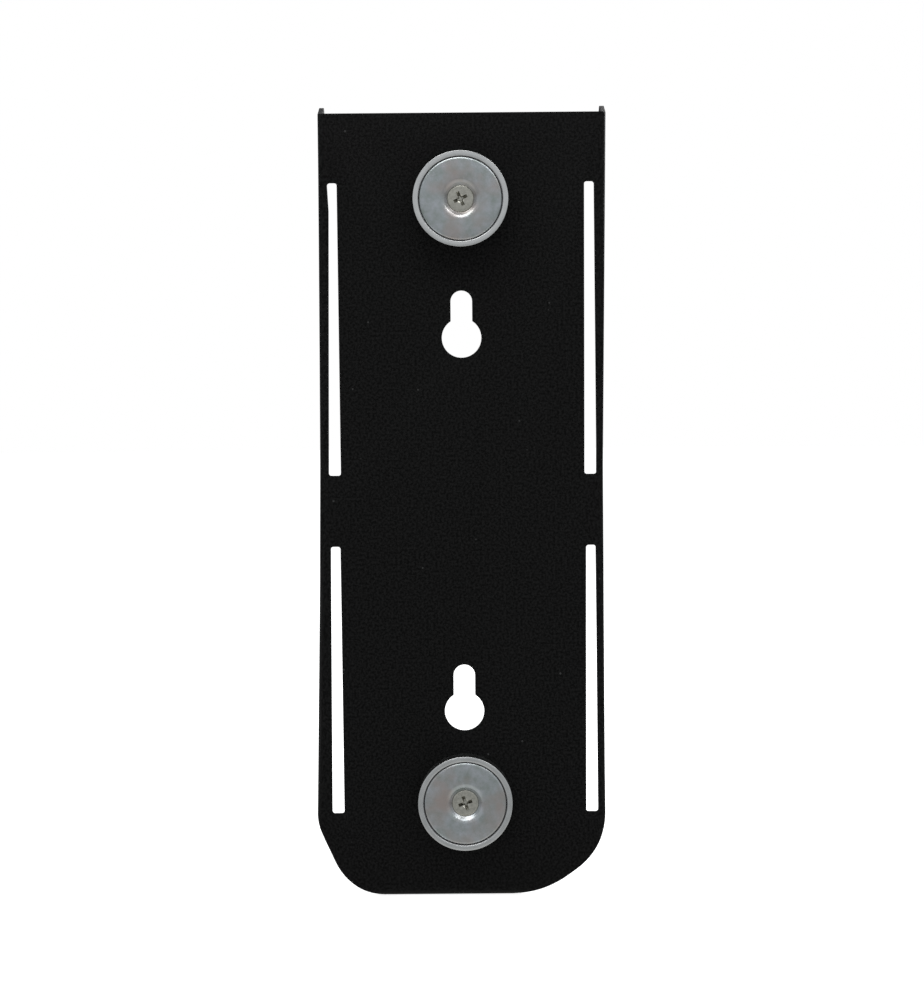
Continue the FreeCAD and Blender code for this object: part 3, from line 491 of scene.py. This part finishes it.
def choose(piece, kind, test):
    """In edit mode, select only the vertices, edges or faces whose middle passes a test."""
    bpy.ops.mesh.select_mode(type=kind)
    bpy.ops.mesh.select_all(action="DESELECT")
    bpy.ops.object.mode_set(mode="OBJECT")
    corners = piece.data.vertices
    items = {"VERT": corners, "EDGE": piece.data.edges, "FACE": piece.data.polygons}[kind]
    for item in items:
        ends = [item.index] if kind == "VERT" else item.vertices
        middle = sum((corners[end].co for end in ends), Vector()) / len(ends)
        item.select = test(item, middle)
    bpy.ops.object.mode_set(mode="EDIT")


# The punch that sinks the cross: a square bar with an arm drawn out of each side, its deep end
# drawn in, and its four inner corners cut off as a cross driver's are. A shallow cone then widens
# the middle of the mouth.
bpy.ops.object.select_all(action="DESELECT")
bpy.ops.mesh.primitive_cube_add(
    size=1, location=(0, head_top + (CROSS_DEPTH - OVERLAP) / 2, axis_height),
    scale=(CROSS_WIDTH, CROSS_DEPTH + OVERLAP, CROSS_WIDTH),
)
punch = bpy.context.object
bpy.ops.object.transform_apply(location=True, rotation=True, scale=True)
bpy.ops.object.mode_set(mode="EDIT")
choose(punch, "FACE", lambda side, middle: abs(side.normal.y) < 0.5)
bpy.ops.mesh.extrude_faces_move(TRANSFORM_OT_shrink_fatten={"value": CROSS_REACH - CROSS_WIDTH / 2})
choose(punch, "EDGE", lambda edge, middle: abs(middle.y - head_top - (CROSS_DEPTH - OVERLAP) / 2) < NEAR
       and math.hypot(middle.x, middle.z - axis_height) < CROSS_WIDTH)
bpy.ops.mesh.bevel(offset=CROSS_WELL, segments=1, affect="EDGES")
choose(punch, "VERT", lambda corner, middle: middle.y > head_top + CROSS_DEPTH / 2)
bpy.ops.transform.resize(
    value=(CROSS_FLOOR_SHARE, 1, CROSS_FLOOR_SHARE), center_override=(0, head_top, axis_height)
)
bpy.ops.mesh.select_all(action="SELECT")
bpy.ops.mesh.normals_make_consistent(inside=False)
bpy.ops.transform.rotate(value=UPPER_CROSS_TURN, orient_axis="Y", center_override=(0, 0, axis_height))
bpy.ops.object.mode_set(mode="OBJECT")
bpy.ops.mesh.primitive_cone_add(
    vertices=48, radius1=CROSS_MOUTH, depth=CROSS_MOUTH_DEPTH, rotation=(math.radians(-90), 0, 0),
    location=(0, head_top + CROSS_MOUTH_DEPTH / 2 - OVERLAP, axis_height),
)
mouth = bpy.context.object
for tool in (punch, mouth):
    bpy.ops.object.select_all(action="DESELECT")
    screw.select_set(True)
    bpy.context.view_layer.objects.active = screw
    sinking = screw.modifiers.new("cross recess", "BOOLEAN")
    sinking.operation = "DIFFERENCE"
    sinking.solver = "EXACT"
    sinking.object = tool
    bpy.ops.object.modifier_apply(modifier=sinking.name)
    bpy.data.objects.remove(tool)

# The thread: a three-sided ridge run round the core in a helix. Its section starts as an
# equal-sided triangle, one and a half radii tall, and is then stretched along the screw.
thread_height = THREAD_DEPTH + OVERLAP
thread_turns = int((screw_tip - neck - 2 * THREAD_PITCH) / THREAD_PITCH)
bpy.ops.object.select_all(action="DESELECT")
bpy.ops.mesh.primitive_circle_add(
    vertices=3, radius=thread_height / 1.5, fill_type="NOTHING", rotation=(0, 0, math.radians(-90)),
)
thread = bpy.context.object
bpy.ops.object.transform_apply(location=True, rotation=True, scale=True)
bpy.ops.object.mode_set(mode="EDIT")
bpy.ops.mesh.select_all(action="SELECT")
bpy.ops.transform.resize(value=(1, THREAD_STRETCH, 1), center_override=(0, 0, 0))
bpy.ops.transform.translate(value=(core_radius - OVERLAP + thread_height / 3, neck + THREAD_PITCH, 0))
bpy.ops.object.mode_set(mode="OBJECT")
winding = thread.modifiers.new("winding", "SCREW")
winding.axis = "Y"
winding.screw_offset = THREAD_PITCH
winding.iterations = thread_turns
winding.steps = winding.render_steps = THREAD_STEPS
bpy.ops.object.modifier_apply(modifier=winding.name)
bpy.ops.object.mode_set(mode="EDIT")
bpy.ops.mesh.select_all(action="SELECT")
bpy.ops.mesh.fill_holes(sides=0)
bpy.ops.mesh.normals_make_consistent(inside=False)
bpy.ops.transform.translate(value=(0, 0, axis_height))
bpy.ops.object.mode_set(mode="OBJECT")
screw.select_set(True)
bpy.context.view_layer.objects.active = screw
bpy.ops.object.join()
bpy.ops.object.shade_smooth_by_angle(angle=SHARP)
lower_screw = lower_copy(screw, "lower_machine_screw", LOWER_CROSS_TURN)

# Yellowish zinc on cold headed steel: a warmer, duller metal than the cups', scuffed by the
# driver in fine marks about 0.2 mm wide, drawn at 0.8 mm so that they show.
SCREW_SCUFF = 0.0008
SCREW_SCUFF_HEIGHT = 0.00004
screw_zinc = bpy.data.materials.new("warm zinc plate")
screw_zinc.use_nodes = True
tree = screw_zinc.node_tree
face = tree.nodes["Principled BSDF"]
place = add_node(tree, "ShaderNodeTexCoord").outputs["Object"]
scuff = add_node(tree, "ShaderNodeTexNoise", {"Scale": 1 / SCREW_SCUFF, "Detail": 4.0, "Roughness": 0.65},
                 {"Vector": place})
worn = add_node(tree, "ShaderNodeMixRGB", {"Color1": linear("#84837c"), "Color2": linear("#c4c3b9")},
                {"Fac": scuff.outputs["Fac"]})
tree.links.new(worn.outputs["Color"], face.inputs["Base Color"])
face.inputs["Metallic"].default_value = 1.0
wear = add_node(tree, "ShaderNodeMapRange", {"To Min": 0.20, "To Max": 0.42},
                {"Value": scuff.outputs["Fac"]})
tree.links.new(wear.outputs["Result"], face.inputs["Roughness"])
dimple = add_node(tree, "ShaderNodeBump", {"Strength": 0.4, "Distance": SCREW_SCUFF_HEIGHT},
                  {"Height": scuff.outputs["Fac"]})
tree.links.new(dimple.outputs["Normal"], face.inputs["Normal"])
for piece, node in ((screw, "upper_screw"), (lower_screw, "lower_screw")):
    piece.data.materials.append(screw_zinc)
    finish_piece(piece, "screw_steel", node)


# The washers and nuts: plain M5 washers punched from strip and hexagon nuts with their corners
# turned off, zinc plated, run up against the front of the back plate.
FASTENER_EDGE_ROUND = 0.00012

# Blue zinc plate: a cold, bright metal with a faint bloom in patches about 1.6 mm wide. Its fine
# grain is drawn at 0.4 mm so that it shows.
FASTENER_BLOOM = 0.0016
FASTENER_GRAIN = 0.0004
FASTENER_GRAIN_HEIGHT = 0.00002
fastener_zinc = bpy.data.materials.new("blue zinc plate")
fastener_zinc.use_nodes = True
tree = fastener_zinc.node_tree
face = tree.nodes["Principled BSDF"]
place = add_node(tree, "ShaderNodeTexCoord").outputs["Object"]
bloom = add_node(tree, "ShaderNodeTexNoise", {"Scale": 1 / FASTENER_BLOOM, "Detail": 4.0},
                 {"Vector": place})
plated = add_node(tree, "ShaderNodeMixRGB", {"Color1": linear("#a9adb2"), "Color2": linear("#d0d4d8")},
                  {"Fac": bloom.outputs["Fac"]})
tree.links.new(plated.outputs["Color"], face.inputs["Base Color"])
face.inputs["Metallic"].default_value = 1.0
satin = add_node(tree, "ShaderNodeMapRange", {"To Min": 0.22, "To Max": 0.45},
                 {"Value": bloom.outputs["Fac"]})
tree.links.new(satin.outputs["Result"], face.inputs["Roughness"])
fine = add_node(tree, "ShaderNodeTexNoise", {"Scale": 1 / FASTENER_GRAIN, "Detail": 2.0},
                {"Vector": place})
dimple = add_node(tree, "ShaderNodeBump", {"Strength": 0.25, "Distance": FASTENER_GRAIN_HEIGHT},
                  {"Height": fine.outputs["Fac"]})
tree.links.new(dimple.outputs["Normal"], face.inputs["Normal"])
for node in ("upper_washer", "upper_nut", "lower_washer", "lower_nut"):
    piece = merged_copy(node, f"plated_{node}")
    round_edges(piece, FASTENER_EDGE_ROUND, 2)
    piece.data.materials.append(fastener_zinc)
    finish_piece(piece, "fastener_zinc", node)
